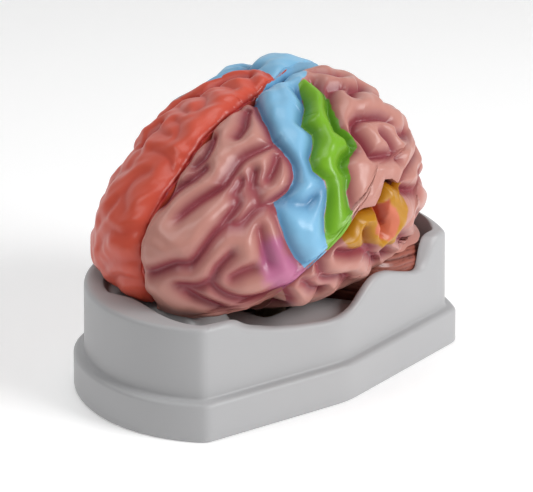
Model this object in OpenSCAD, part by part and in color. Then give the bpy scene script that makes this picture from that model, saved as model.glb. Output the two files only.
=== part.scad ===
// Brain anatomy model on its base.
// Left is +X, front is -Y, up is +Z. The origin lies under the middle of the base.

/* [Base] */
// Length of the base from front to back
base_len = 203; // [195:1:215]
// Width of the base
base_w = 130; // [126:1:140]
// Radius of the curved front face
front_r = 73; // [70:1:90]
// Radius of the curved back face
back_r = 100; // [95:1:120]
// Height of the lower tier
plinth_h = 19; // [15:0.5:24]
// Width of the step on top of the lower tier
ledge_w = 5.5; // [4:0.5:7]
// Height of the wall at the front
front_h = 54; // [52:0.5:56]
// Height of the wall at the back
back_h = 60; // [58:0.5:64]
// Width of the lip along the sides
lip_w = 5; // [4:0.5:7]
// Width of the lip round the back
back_lip_w = 3.2; // [3:0.2:5]
// Width of the lip at the front
front_lip_w = 14; // [10:0.5:15]
// Angle of the flat facet at the front left
facet_angle = 17.4; // [14:0.2:20]
// Distance of that facet from the middle of the front curve
facet_reach = 57.2; // [55:0.2:60]

/* [Brain] */
// Half width of the whole brain
half_w = 70; // [66:0.5:72]
// Middle of the brain, from front to back
mid_y = 9.5; // [7:0.5:12]
// Middle of the brain, above the ground
mid_z = 84; // [83:0.5:88]
// Gap between the halves, and between the lobes
gap = 0.6; // [0.5:0.1:0.8]
// Depth of the folds
fold_d = 6; // [3:0.2:7]
// Width of a fold from its crease to the crown beside it
fold_w = 6.5; // [4:0.5:8]
// Depth of the long cleft between the halves
cleft_d = 8; // [3:0.5:9]
// Width of that cleft on each half
cleft_w = 14; // [6:0.5:16]

/* [Cerebellum and brainstem] */
// Half width of the cerebellum
cer_w = 54.5; // [50:0.5:54.5]
// Half length of the cerebellum
cer_l = 31; // [28:0.5:32]
// Half height of the cerebellum
cer_h = 26; // [24:0.5:27]
// Middle of the cerebellum, from front to back
cer_y = 48.5; // [47:0.5:50]
// Middle of the cerebellum, above the ground
cer_z = 42; // [41:0.5:44]
// Half width of the brainstem at its bulge
stem_w = 16; // [13:0.5:17]
// Free space round the cerebellum and brainstem
nest = 2; // [1.5:0.1:3]

/* [Pegs] */
// Diameter of the pegs between the upper and the lower lobes
peg_d = 4; // [3:0.5:6]
// Length of a peg
peg_len = 16; // [12:1:20]
// Free space round a peg in the upper lobes
peg_play = 0.3; // [0.2:0.05:0.5]
// How far the pegs stand from the cleft
peg_x = 28; // [20:1:34]
// Where the front peg stands, from the middle of the brain
front_peg = -10; // [-13:0.5:-7]
// Where the back peg stands, from the middle of the brain
back_peg = 36; // [31:0.5:40]

/* [Hidden] */
// Outline of a half seen from the side: its reach every 22.5 degrees, from the back upwards
reach_list = [72, 72, 71, 69, 62, 61, 68, 80, 100, 92, 63, 51, 47, 47, 54, 66];
// How blunt the half is towards the back, the front, the top and the bottom
blunt_back = 2.6;
blunt_front = 2.1;
blunt_up = 2.2;
// Finest rings of the half, the upper lobes, the lower lobes and the cerebellum
half_rings = 22;
upper_rings = 22;
lower_rings = 16;
cer_rings = 8;
// Stations round the base
stations = 80;
// Thinnest edge of a lobe before its folds and after them
edge_min = 6;
rim_min = 1.2;
// How far the cerebellum and brainstem of the right half run into it, as one casting
sink = 2;
// Where the seam runs between the upper and the lower lobes, from the middle: back, up
seam = [
    [-109, -30], [-89, -32.5], [-79, -33.5], [-70, -31], [-65, -25], [-61, -17], [-51, -10],
    [-42, -5], [-32, 1], [-26, 4], [-20, 11], [-14, 12], [-6, 11], [-1, 15], [4, 21],
    [9, 20], [13.5, 16.5], [21, 21], [30, 23], [41, 24], [55, 28], [80, 34]
];
// Front edge of the temporal lobe: up, back
pole = [[-60, -30], [-41, -39], [-34, -49], [-26, -55], [-17, -61], [40, -62]];

// Creases of the folds as points on the side of a half. Each point is the angle towards the
// back and the angle upwards, as seen from the widest spot.
upper_creases = [
    [[-56, 56], [-50, 63], [-44, 72], [-38, 78]],
    [[-78, 15], [-72, 22], [-66, 27], [-62, 34], [-58, 41], [-52, 45], [-45, 48], [-41, 51]],
    [[-86, -9], [-80, -5], [-74, -2], [-69, -2], [-65, 3], [-62, 9], [-59, 12]],
    [[-60, 12], [-54, 11], [-51, 16], [-46, 18], [-42, 18]],
    [[-53, 34], [-54, 28], [-52, 22], [-50, 17]],
    [[-43, 41], [-46, 33], [-48, 29]],
    [[-58, 30], [-60, 24], [-58, 19], [-60, 13]],
    [[-74, -11], [-66, -10], [-61, -7], [-59, -3], [-54, 2]],
    [[-62, -8], [-58, -12], [-52, -14.5], [-45, -13], [-40, -10]],
    [[-72, -13], [-66, -16], [-60, -19], [-54, -22]],
    [[-54, -6], [-50, -4], [-46, -3]],
    [[-47, 9], [-44, 4], [-41, -2]],
    [[-25, 86], [-32, 78], [-37, 70], [-40, 60], [-42, 52], [-40, 44], [-38, 36], [-38, 28],
        [-41, 21], [-46, 18], [-42, 12], [-37, 5], [-33, 0], [-30, -4]],
    [[-66, 58], [-69, 51], [-72, 45], [-77, 40]],
    [[-87, 20], [-83, 28], [-77, 33], [-72, 38]],
    [[0, 79], [-8, 70], [-16, 65], [-22, 60], [-21, 53], [-25, 46], [-30, 38], [-30, 31],
        [-26, 25], [-25, 17], [-25, 9], [-23, 4]],
    [[-42, 20], [-38, 17], [-33, 15], [-30, 18]],
    [[13, 76], [8, 66], [0, 61], [-4, 56], [-7, 50], [-4, 44], [-6, 38], [-13, 36], [-17, 32],
        [-16, 25], [-17, 18], [-16, 10]],
    [[2, 31], [2, 38], [1, 45], [4, 48], [9, 48], [15, 44], [21, 41], [26, 37]],
    [[2, 31], [7, 27], [12, 24]],
    [[8, 66], [14, 68], [20, 64]],
    [[18, 58], [24, 60], [31, 56], [38, 58]],
    [[14, 35], [16, 28], [15, 21]],
    [[25, 30], [32, 27], [40, 28]],
    [[24, 78], [28, 70], [36, 68]],
    [[34, 48], [42, 44], [50, 46]],
    [[50, 60], [52, 52], [58, 44], [66, 38]]
];
lower_creases = [
    [[-24, -4], [-24, -10], [-22, -16], [-20, -22], [-17, -30], [-12, -38], [-8, -44]],
    [[-31, -9], [-29, -16], [-28, -24], [-30, -33]],
    [[-17, -3], [-13, -5], [-9, -8], [-8, -13], [-4, -19], [2, -25], [8, -29], [15, -34]],
    [[-6, 8], [-4, 2], [-1, -3], [2, 2], [3, 9], [3, 15]],
    [[11, 8], [16, 6], [24, 4]],
    [[6, -17], [12, -22], [20, -28]],
    [[12, -8], [20, -13], [28, -20]],
    [[22, -4], [30, -8], [38, -10]],
    [[28, 10], [36, 6], [46, 4]],
    [[44, 16], [52, 8], [62, 4], [72, 6]],
    [[40, -20], [50, -16], [62, -14]],
    [[56, 22], [66, 20], [76, 24]]
];
right_front_creases = [
    [[-17, 89], [-10, 85], [-2, 81], [6, 76]],
    [[3, 88], [8, 82], [11, 75], [13, 68], [10, 58], [4, 50]],
    [[-22, 79], [-18, 75], [-15, 70], [-16, 62]],
    [[-46, 62], [-42, 66], [-35, 67], [-28, 65], [-24, 60]],
    [[-46, 57], [-41, 54], [-34, 52]],
    [[-64, 47], [-60, 50], [-54, 52], [-49, 50]],
    [[-60, 45], [-54, 42], [-48, 40]],
    [[-80, 34], [-74, 38], [-67, 37], [-61, 34]],
    [[-72, 28], [-68, 22], [-69, 16], [-76, 12]],
    [[-67, 12], [-64, 6], [-59, 2]],
    [[-56, 28], [-49, 30], [-42, 27], [-38, 20]],
    [[-58, 22], [-52, 16], [-46, 14]],
    [[-87, 8], [-80, 4], [-72, 3], [-64, -4]],
    [[-89, -4], [-82, -6], [-75, -8], [-68, -13]],
    [[-86, -14], [-78, -14], [-72, -18]],
    [[-32, 44], [-26, 50], [-20, 52], [-16, 60]]
];
// Creases of the inner face: distance from the middle towards the back, and up
inner_creases = [
    [[-38, -4], [-46, 4], [-44, 16], [-32, 24], [-12, 28], [8, 26], [22, 18], [26, 8], [20, 2]],
    [[-62, -8], [-66, 10], [-56, 28], [-34, 38], [-8, 42], [16, 40], [30, 50]],
    [[30, 6], [40, 22], [48, 40]],
    [[34, 2], [48, -2], [62, 0]]
];

// Centres of the curved faces of the base, and the direction that its facet looks to
front_c = [0, -base_len / 2 + front_r];
back_c = [0, base_len / 2 - back_r];
facet_n = [cos(facet_angle), -sin(facet_angle)];
// Floor of the base under the temporal lobes, under the frontal lobes and under the cerebellum
floor_mid = mid_z - 45.5;
floor_pad = mid_z - 31;
floor_pit = cer_z - cer_h - 0.3;
// How softly the right side of the base runs into its front, and the other faces into each other
side_soft = 4;
plan_soft = 0.8;
// Corners of the base, as angles round its middle
corners = [293.6, 344.9, 48.1, 131.9];
// How much fuller the right and the left half are, low in front
right_fill = 0.2;
left_fill = 0.05;
// Depth and width of the rounding at the front of the temporal lobe, and at the seam
pole_d = 10;
pole_w = 9;
seam_d = 5.5;
// Middle that the plan of the base is drawn round
hub = [0, 5];
// Rise of the lip at the front towards its inner edge
lip_rise = 2.5;
// Width of the soft dip round a crease, in widths of the fold
broad = 1.45;
// Depth and width of the folds of the inner face
inner_d = 2.5;
inner_w = 5;
// Leaves of the cerebellum: their height, and the depth and half width of a groove
leaf_h = 8;
leaf_d = 1.2;
leaf_w = 2.5;
// Share of the lean of the leaves towards the back
leaf_lean = 0.12;

function clamp(v, lo, hi) = min(max(v, lo), hi);
function mix(a, b, t) = a + (b - a) * t;
function smooth(v, lo, hi) = let (t = clamp((v - lo) / (hi - lo), 0, 1)) t * t * (3 - 2 * t);
function power(b, p) = b <= 0 ? 0 : pow(b, p);

// Reach of the outline of a half at an angle, through the points of reach_list
function reach(a) =
    let (
        n = len(reach_list),
        u = ((a + 720) % 360) / 360 * n,
        i = floor(u),
        t = u - i,
        p0 = reach_list[(i + n - 1) % n],
        p1 = reach_list[i % n],
        p2 = reach_list[(i + 1) % n],
        p3 = reach_list[(i + 2) % n]
    )
    0.5 * (2 * p1 + (p2 - p0) * t + (2 * p0 - 5 * p1 + 4 * p2 - p3) * t * t
        + (3 * p1 - p0 - 3 * p2 + p3) * t * t * t);
function blunt(a) = mix(blunt_up, cos(a) > 0 ? blunt_back : blunt_front, cos(a) * cos(a));

// How much fuller a half is at a place seen from the side
function swell(p, fill) = 1 + fill * smooth(mid_z - p.y, 0, 24) * smooth(-p.x, 20, 50);
// Height of the smooth half above the cleft, over a place seen from the side
function outer(p, fill = 0) =
    let (d = p - [mid_y, mid_z], a = atan2(d.y, d.x), n = blunt(a), q = norm(d) / reach(a))
    half_w * power(1 - power(q, n), 1 / n) * swell(p, fill);
// The same surface from the two angles of a crease point
function on_half(c, fill) =
    let (
        a = atan2(c.y, c.x),
        t = min(norm(c), 90),
        n = blunt(a),
        r = reach(a) * power(sin(t), 2 / n),
        p = [mid_y + r * cos(a), mid_z + r * sin(a)]
    )
    [half_w * power(cos(t), 2 / n) * swell(p, fill), p.x, p.y];
// Direction straight out of the smooth half
function out_dir(p) =
    let (
        d = [p.y - mid_y, p.z - mid_z],
        a = atan2(d.y, d.x),
        n = blunt(a),
        r = reach(a),
        fx = power(p.x / half_w, n - 1) / half_w,
        fr = power(min(norm(d) / r, 1), n - 1) / r,
        v = [fx, fr * cos(a), fr * sin(a)]
    )
    v / norm(v);

// Creases with their depth, width and surrounding sphere
function crease(line, d, w) =
    let (
        lo = [for (k = [0:2]) min([for (p = line) p[k]])],
        hi = [for (k = [0:2]) max([for (p = line) p[k]])]
    )
    [d, w, line, (lo + hi) / 2, norm(hi - lo) / 2 + broad * w];
function creases(list, fill) = [
    for (l = list) crease([for (c = l) on_half(c, fill)], fold_d, fold_w)
];
function side_line(list, fill) = [
    for (s = list) let (p = [mid_y + s.x, mid_z + s.y]) if (outer(p) > 4) [outer(p, fill), p.x, p.y]
];
function edges_of(fill) = [
    crease(side_line(seam, fill), seam_d, fold_w),
    crease(side_line([for (s = pole) if (s.x < 0) [s.y, s.x]], fill), pole_d, pole_w)
];
inner_set = [
    for (l = inner_creases) crease([for (c = l) [0, mid_y + c.x, mid_z + c.y]], inner_d, inner_w)
];
function seg_dist(p, a, b) =
    let (ab = b - a, t = clamp((p - a) * ab / (ab * ab), 0, 1))
    norm(p - a - t * ab);
function line_dist(p, l) = min([for (i = [0:len(l) - 2]) seg_dist(p, l[i], l[i + 1])]);
// A crown is round, so the depth falls along a quarter circle, and a broad soft dip goes with it
function round_off(d, w) = d >= w ? 0 : 1 - sqrt(1 - pow(1 - max(d, 0) / w, 2));
function dip(d, w) = (round_off(d, w) + 1 - smooth(d, 0, broad * w)) / 2;
function depth(p, set) =
    max([for (c = set) norm(p - c[3]) > c[4] ? 0 : c[0] * dip(line_dist(p, c[2]), c[1])]);

// The seam, the floor under the frontal lobe and the front of the temporal lobe
function seam_z(y) = mid_z + lookup(y - mid_y, seam);
function pole_y(z) = mid_y + lookup(z - mid_z, pole);

// Half width of the cerebellum over a place seen from the side, grown by some space
function cer_x(p, s) =
    (cer_w + s) * power(1 - power(abs(p.x - cer_y) / (cer_l + s), 3.2)
        - power(abs(p.y - cer_z) / (cer_h + s), 2.6), 1 / 2.8);
// Hollow that holds the cerebellum and brainstem, open downwards, with some space round them
function hollow(p, e) =
    let (
        c = cer_x([p.x, max(p.y, cer_z)], e),
        s = (stem_w + e) * smooth(p.x, -24, -13) * (1 - smooth(p.x, 18, 30))
            * (1 - smooth(p.y, 69, 80))
    )
    max(c, s);
function inner(p, e) = max(gap / 2 + depth([0, p.x, p.y], inner_set), hollow(p, e));

// Whether a place seen from the side belongs to the upper lobes, the lower lobes or the half
function body_here(p, e) =
    let (o = outer(p), h = hollow(p, e))
    o > 0 && (h < 0.5 || o - h > edge_min);
function in_upper(p) = p.y > seam_z(p.x) + gap / 2 && body_here(p, nest);
function in_lower(p) = p.y < seam_z(p.x) - gap / 2 && p.x > pole_y(p.y) && body_here(p, nest);
function in_half(p) = (p.y > seam_z(p.x) || p.x > pole_y(p.y)) && body_here(p, -sink);
function in_cer(p) = cer_x(p, 0) > 0;

// First edge of a region on the way out from its middle
function halve(c, d, lo, hi, inside, n) =
    let (m = (lo + hi) / 2)
    n == 0 ? lo
    : inside(c + m * d) ? halve(c, d, m, hi, inside, n - 1)
    : halve(c, d, lo, m, inside, n - 1);
function edge(c, d, r, inside) =
    inside(c + r * d) ? edge(c, d, r + 2.5, inside) : halve(c, d, r - 2.5, r, inside, 9);

// Index of the first point of ring k, where ring k has 6 k points
function first(k) = k == 0 ? 0 : 1 + 3 * k * (k - 1);
function at(k, j) = k == 0 ? 0 : first(k) + j % (6 * k);
function turn(t, flip) = flip ? [t[0], t[2], t[1]] : t;
function disc_faces(n, start, flip) = [
    for (k = [1:n]) for (s = [0:5]) for (i = [0:k - 1])
        let (
            a = start + at(k, s * k + i),
            b = start + at(k - 1, s * (k - 1) + i),
            c = start + at(k - 1, s * (k - 1) + i + 1),
            d = start + at(k, s * k + i + 1)
        )
        each [turn([a, b, d], flip), if (i < k - 1) turn([b, c, d], flip)]
];

// One half of the drum-shaped solids: a domed outer face over a region, and an inner face
module lobe(c, n, inside, top, carve, under, keep) {
    edges = [for (a = [0:2:360]) [a, edge(c, [cos(a), sin(a)], 2.5, inside)]];
    dome = [
        for (k = [0:n]) for (j = [0:max(6 * k, 1) - 1])
            let (
                a = k == 0 ? 0 : 60 * j / k,
                r = lookup(a, edges),
                d = [cos(a), sin(a)],
                steep = 1 - top(c + r * d) / top(c),
                t = mix(k / n, sin(90 * k / n), clamp(steep, 0, 1)),
                p = c + t * r * d,
                q = carve([top(p), p.x, p.y]),
                yz = keep([q.y, q.z])
            )
            [max(q.x, under(yz) + rim_min), yz.x, yz.y]
    ];
    rim = [for (j = [0:6 * n - 1]) dome[first(n) + j]];
    m = n / 2;
    wall = [for (p = rim) [under([p.y, p.z]), p.y, p.z]];
    face = [
        for (k = [0:m]) for (j = [0:max(6 * k, 1) - 1])
            let (
                u = k == 0 ? 0 : j / k * n,
                i = floor(u),
                e = mix(rim[i % (6 * n)], rim[(i + 1) % (6 * n)], u - i),
                s = k == m ? 1 - 0.5 / m : k / m,
                p = mix(c, [e.y, e.z], s)
            )
            [under(p), p.x, p.y]
    ];
    nd = len(dome);
    nw = len(wall);
    f0 = nd + nw;
    sides = [
        for (j = [0:nw - 1])
            let (k = (j + 1) % nw)
            each [
                [first(n) + j, first(n) + k, nd + j],
                [first(n) + k, nd + k, nd + j]
            ]
    ];
    stitch = [
        for (j = [0:6 * m - 1])
            let (a = nd + 2 * j, b = nd + 2 * j + 1, e = nd + (2 * j + 2) % nw)
            each [
                [a, b, f0 + at(m, j)],
                [b, f0 + at(m, j + 1), f0 + at(m, j)],
                [b, e, f0 + at(m, j + 1)]
            ]
    ];
    polyhedron(
        points = concat(dome, wall, face),
        faces = concat(disc_faces(n, 0, false), sides, stitch, disc_faces(m, f0, true))
    );
}

// Folds of a half: creases, the seam and the rounding into the long cleft
function carve_half(p, set) =
    let (d = max(depth(p, set), cleft_d * round_off(p.x, cleft_w)))
    p - d * out_dir(p);
upper_set = concat(creases(upper_creases, left_fill), [edges_of(left_fill)[0]]);
lower_set = concat(creases(lower_creases, left_fill), edges_of(left_fill));
right_set = concat(
    creases(right_front_creases, right_fill),
    creases([for (l = upper_creases) if (l[0].x > -50 && norm(l[0]) < 80) l], right_fill),
    creases(lower_creases, right_fill),
    edges_of(right_fill)
);
// Grooves between the leaves of the cerebellum
function carve_cer(p) =
    let (
        level = (p.z + leaf_lean * (p.y - cer_y)) / leaf_h,
        off = abs(level - floor(level) - 0.5) * leaf_h
    )
    [p.x - leaf_d * round_off(off, leaf_w), p.y, p.z];

module hemisphere_upper() {
    lobe([mid_y + 2, mid_z + 30], upper_rings, function (p) in_upper(p), function (p) outer(p, left_fill),
        function (p) carve_half(p, upper_set), function (p) inner(p, nest),
        function (p) [p.x, max(p.y, seam_z(p.x) + gap / 2)]);
}
module hemisphere_lower() {
    lobe([mid_y + 10, mid_z - 14], lower_rings, function (p) in_lower(p), function (p) outer(p, left_fill),
        function (p) carve_half(p, lower_set), function (p) inner(p, nest),
        function (p) [p.x, min(p.y, seam_z(p.x) - gap / 2)]);
}
module hemisphere_whole() {
    lobe([mid_y + 4, mid_z + 10], half_rings, function (p) in_half(p), function (p) outer(p, right_fill),
        function (p) carve_half(p, right_set), function (p) inner(p, -sink), function (p) p);
}
module cerebellum_half() {
    lobe([cer_y, cer_z], cer_rings, function (p) in_cer(p), function (p) cer_x(p, 0),
        function (p) carve_cer(p), function (p) gap / 2, function (p) p);
}

// Half of the brainstem: half ellipses strung along a leaning line
stem_stations = [
    // back, up, half depth, share of the half width
    [3, 68, 7, 0.8], [2, 62, 9, 0.9], [0, 56, 11, 1], [0, 48, 12, 1], [3, 40, 10, 0.8],
    [6, 32, 8, 0.62], [8, 22, 6.5, 0.5], [9, 16, 6, 0.45]
];
module brainstem_half() {
    n = 10;
    rows = [
        for (s = stem_stations)
            [for (i = [0:n]) let (a = -90 + 180 * i / n)
                [gap / 2 + stem_w * s[3] * cos(a), s[0] + s[2] * sin(a), s[1]]]
    ];
    k = len(rows);
    m = n + 1;
    polyhedron(
        points = [for (r = rows) each r],
        faces = concat(
            [for (j = [0:k - 2]) for (i = [0:m - 1])
                let (a = j * m + i, b = j * m + (i + 1) % m)
                each [[a, b, a + m], [b, b + m, a + m]]],
            [[for (i = [0:m - 1]) m - 1 - i]],
            [[for (i = [0:m - 1]) (k - 1) * m + i]]
        )
    );
}

// How far a place lies inside the plan of the base
function plan_depth(p) =
    let (
        g = [
            soft_least([front_r - norm([p.x, min(p.y - front_c.y, 0)]), base_w / 2 + p.x], side_soft),
            facet_reach - facet_n * (p - front_c),
            base_w / 2 - p.x,
            back_r - norm([p.x, max(p.y - back_c.y, 0)])
        ]
    )
    soft_least(g, plan_soft);
function soft_least(l, soft) = min(l) - soft * ln(sum([for (v = l) exp((min(l) - v) / soft)]));
function sum(l, i = 0) = i >= len(l) ? 0 : l[i] + sum(l, i + 1);
function plan_reach(a, d, lo = 0, hi = 160, n = 16) =
    let (m = (lo + hi) / 2)
    n == 0 ? lo
    : plan_depth(hub + m * [cos(a), sin(a)]) > d ? plan_reach(a, d, m, hi, n - 1)
    : plan_reach(a, d, lo, m, n - 1);

// Height of the wall: the left and the right side in front, and both sides behind
left_rise = [[-72, front_h], [-65, front_h - 4.5], [-51, front_h - 8.5], [-36, front_h - 11]];
right_rise = [
    [-78, front_h], [-62, front_h + 2.5], [-50, front_h + 3], [-42, front_h + 1], [-32, front_h - 7]
];
rear_rise = [
    [-20, front_h - 12.8], [-12, front_h - 12.8], [-4, front_h - 11.7], [1, front_h - 9.7],
    [6, front_h - 6], [11, front_h - 2.7], [16, front_h - 0.2], [20, front_h + 0.4],
    [27, front_h - 0.6], [35, front_h - 3.3], [44, front_h - 6.3], [52, front_h - 8.5],
    [57, front_h - 8], [60, front_h - 6], [63, back_h - 6], [66, back_h - 1.5], [70, back_h]
];
function wall_h(p) = lookup(p.y, concat(p.x > 0 ? left_rise : right_rise, rear_rise));
// Floor of the hollow in the base: a pad under the frontal lobes and a pit at the back
function floor_z(p) =
    let (
        pad = smooth(p.y, -82, -74) * (1 - smooth(p.y, -54, -44)) * (1 - smooth(abs(p.x), 16, 30)),
        pit_w = mix(stem_w + 4, cer_w, smooth(p.y, 4, 24)),
        pit = smooth(p.y, -30, -10) * (1 - smooth(p.y, 70, 92)) * (1 - smooth(abs(p.x), pit_w, pit_w + 8))
    )
    mix(mix(floor_mid, floor_pad, pad), floor_pit, pit);

// Angle of a station round the base, moved to a corner where one is near
function station(i) =
    let (a = 360 * i / stations, near = [for (c = corners) if (abs(c - a) < 180 / stations) c])
    len(near) > 0 ? near[0] : a;

module base_shell() {
    rings = [
        for (i = [0:stations - 1])
            let (
                a = station(i),
                w = hub + plan_reach(a, ledge_w) * [cos(a), sin(a)],
                h = wall_h(w),
                front = exp(-pow((w.x + 10) / 28, 2)) * (1 - smooth(w.y, -60, -35)),
                side_lip = mix(lip_w, front_lip_w, front),
                lip = mix(side_lip, back_lip_w, smooth(w.y, 10, 30)),
                in_z = h + lip_rise * front,
                r0 = ledge_w,
                rows = [
                    [1.2, 0], [0, 1.4], [0.4, plinth_h - 2.2], [1.4, plinth_h - 0.6], [2.6, plinth_h],
                    [r0 - 0.8, plinth_h + 0.1], [r0, plinth_h + 0.9],
                    [r0 + 0.8, h - 2.5], [r0 + 1.5, h - 0.8],
                    [r0 + 2.9, h], [r0 + lip - 1, in_z], [r0 + lip, in_z - 1.2]
                ]
            )
            [
                for (r = rows) let (q = hub + plan_reach(a, r[0]) * [cos(a), sin(a)]) [q.x, q.y, r[1]],
                for (s = [0.985, 0.86, 0.72, 0.56, 0.4, 0.22])
                    let (q = hub + s * plan_reach(a, r0 + lip) * [cos(a), sin(a)])
                    [q.x, q.y, min(floor_z(q), in_z - 2)]
            ]
    ];
    m = len(rings[0]);
    n = stations;
    points = concat([for (r = rings) each r], [[hub.x, hub.y, 0], [hub.x, hub.y, floor_z(hub)]]);
    polyhedron(
        points = points,
        faces = concat(
            [for (i = [0:n - 1]) for (j = [0:m - 2])
                let (a = i * m + j, b = ((i + 1) % n) * m + j)
                each [[a, a + 1, b], [a + 1, b + 1, b]]],
            [for (i = [0:n - 1]) [i * m, ((i + 1) % n) * m, n * m]],
            [for (i = [0:n - 1]) [i * m + m - 1, n * m + 1, ((i + 1) % n) * m + m - 1]]
        )
    );
}

// Two upright pegs across the seam, grown by some space round them and above them
module pegs(side, above) {
    for (d = [front_peg, back_peg])
        translate([peg_x, mid_y + d, seam_z(mid_y + d) - peg_len / 2])
            cylinder(d = peg_d + 2 * side, h = peg_len + above, $fn = 48);
}

module base() {
    color("lightgray") base_shell();
}
module right_half() {
    color("tomato") mirror([1, 0, 0]) union() {
        hemisphere_whole();
        cerebellum_half();
        brainstem_half();
    }
}
module left_frontal_parietal() {
    color("rosybrown") difference() {
        hemisphere_upper();
        pegs(peg_play, peg_play);
    }
}
module left_temporal_occipital() {
    color("darksalmon") difference() {
        hemisphere_lower();
        pegs(0, 0);
    }
}
module lobe_pegs() {
    color("silver") pegs(0, 0);
}
module left_cerebellum() {
    color("sienna") cerebellum_half();
}
module left_brainstem() {
    color("wheat") brainstem_half();
}

base();
right_half();
left_frontal_parietal();
left_temporal_occipital();
left_cerebellum();
left_brainstem();
lobe_pegs();
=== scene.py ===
import math

import bpy
import numpy as np
from mathutils import Matrix, Vector


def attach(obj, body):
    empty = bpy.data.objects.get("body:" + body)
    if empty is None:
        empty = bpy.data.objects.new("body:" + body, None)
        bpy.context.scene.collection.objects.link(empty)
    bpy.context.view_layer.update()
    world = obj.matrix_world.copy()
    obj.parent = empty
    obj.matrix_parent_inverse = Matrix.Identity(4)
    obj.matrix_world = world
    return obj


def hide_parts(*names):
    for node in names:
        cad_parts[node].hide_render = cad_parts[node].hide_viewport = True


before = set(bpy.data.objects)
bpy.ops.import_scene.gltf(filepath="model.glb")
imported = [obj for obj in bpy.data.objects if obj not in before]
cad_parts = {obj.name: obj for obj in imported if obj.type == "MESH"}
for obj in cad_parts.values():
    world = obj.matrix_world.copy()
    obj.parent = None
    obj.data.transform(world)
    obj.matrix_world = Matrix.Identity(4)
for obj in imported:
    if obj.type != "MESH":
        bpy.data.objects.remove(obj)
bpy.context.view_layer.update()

# ---- Base -------------------------------------------------------------------------------------
# The base is one thick-walled moulding in light grey plastic with a dull sheen. It has a lower
# tier, a wall with a broad lip in front and a dip at each side, and a hollow for the brain.

base_len, base_w = 203.0, 130.0
front_r, back_r = 73.0, 100.0
plinth_h, ledge_w = 19.0, 5.5
front_h, back_h = 54.0, 60.0
lip_w, back_lip_w, front_lip_w, lip_rise = 5.0, 3.2, 14.0, 2.5
facet_angle, facet_reach = math.radians(17.4), 57.2
side_soft, plan_soft = 4.0, 0.8
hub = np.array([0.0, 5.0])
front_c = np.array([0.0, front_r - base_len / 2])
back_c = np.array([0.0, base_len / 2 - back_r])
pad_floor, shelf_floor, lobe_floor, pit_floor = 53.0, 49.5, 38.5, 15.7

left_rise = [(-72, 0), (-65, -4.5), (-51, -8.5), (-36, -11)]
right_rise = [(-78, 0), (-62, 2.5), (-50, 3), (-42, 1), (-32, -7)]
rear_rise = [
    (-20, -12.8), (-12, -12.8), (-4, -11.7), (1, -9.7), (6, -6), (11, -2.7), (16, -0.2),
    (20, 0.4), (27, -0.6), (35, -3.3), (44, -6.3), (52, -8.5), (57, -8), (60, -6),
    (63, 0), (66, 4.5), (70, 6),
]


def smooth(v, lo, hi):
    t = np.clip((v - lo) / (hi - lo), 0, 1)
    return t * t * (3 - 2 * t)


def mix(a, b, t):
    return a + (b - a) * t


def lookup(v, table):
    keys, values = zip(*table)
    return np.interp(v, keys, values)


def soft_lookup(v, table):
    """The same table with its corners rounded off."""
    return sum(lookup(v + d, table) for d in (-3, -1.5, 0, 1.5, 3)) / 5


def soft_least(walls, soft):
    least = np.min(walls, axis=0)
    return least - soft * np.log(sum(np.exp((least - wall) / soft) for wall in walls))


def plan_depth(x, y):
    """How far a place lies inside the plan of the base."""
    facet = math.cos(facet_angle) * x - math.sin(facet_angle) * (y - front_c[1])
    curve = front_r - np.hypot(x, np.minimum(y - front_c[1], 0))
    back = back_r - np.hypot(x, np.maximum(y - back_c[1], 0))
    return soft_least([soft_least([curve, base_w / 2 + x], side_soft),
                       facet_reach - facet, base_w / 2 - x, back], plan_soft)


def plan_reach(turn, inset):
    lo, hi = np.zeros_like(turn), np.full_like(turn, 160.0)
    for _ in range(24):
        mid = (lo + hi) / 2
        deep = plan_depth(hub[0] + mid * np.cos(turn), hub[1] + mid * np.sin(turn)) > inset
        lo, hi = np.where(deep, mid, lo), np.where(deep, hi, mid)
    return lo


def floor_z(x, y):
    pad = smooth(y, -82, -74) * (1 - smooth(y, -54, -44)) * (1 - smooth(abs(x), 16, 30))
    pit_w = mix(20.0, 54.5, smooth(y, 4, 24))
    pit = smooth(y, -30, -10) * (1 - smooth(y, 70, 92)) * (1 - smooth(abs(x), pit_w, pit_w + 8))
    shelf = smooth(-x, 22, 32) * (1 - smooth(y, -56, -46))
    return mix(mix(mix(lobe_floor, shelf_floor, shelf), pad_floor, pad), pit_floor, pit)


def make_piece(name, points, faces, body, marks=None, crease=48.0):
    """A mesh piece from points in millimetres, with its marks for paint and painted shade kept as point attributes.
    """
    mesh = bpy.data.meshes.new(name)
    mesh.from_pydata((np.asarray(points) / 1000).tolist(), [], faces)
    for mark, values in (marks or {}).items():
        layer = mesh.attributes.new(mark, "FLOAT", "POINT")
        layer.data.foreach_set("value", np.asarray(values, np.float32))
    mesh.validate()
    mesh.shade_smooth()
    mesh.set_sharp_from_angle(angle=math.radians(crease))
    piece = bpy.data.objects.new(name, mesh)
    bpy.context.scene.collection.objects.link(piece)
    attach(piece, body)
    return piece


def add_node(tree, kind, settings=None, **values):
    """A shader node with its settings and the plain values of its sockets."""
    node = tree.nodes.new(kind)
    for key, value in (settings or {}).items():
        setattr(node, key, value)
    for key, value in values.items():
        node.inputs[key.replace("_", " ")].default_value = value
    return node


def new_group(name, inputs, outputs):
    tree = bpy.data.node_groups.new(name, "ShaderNodeTree")
    for label, kind, value in inputs:
        tree.interface.new_socket(label, in_out="INPUT", socket_type=kind).default_value = value
    for label, kind in outputs:
        tree.interface.new_socket(label, in_out="OUTPUT", socket_type=kind)
    return tree, tree.nodes.new("NodeGroupInput"), tree.nodes.new("NodeGroupOutput")


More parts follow.
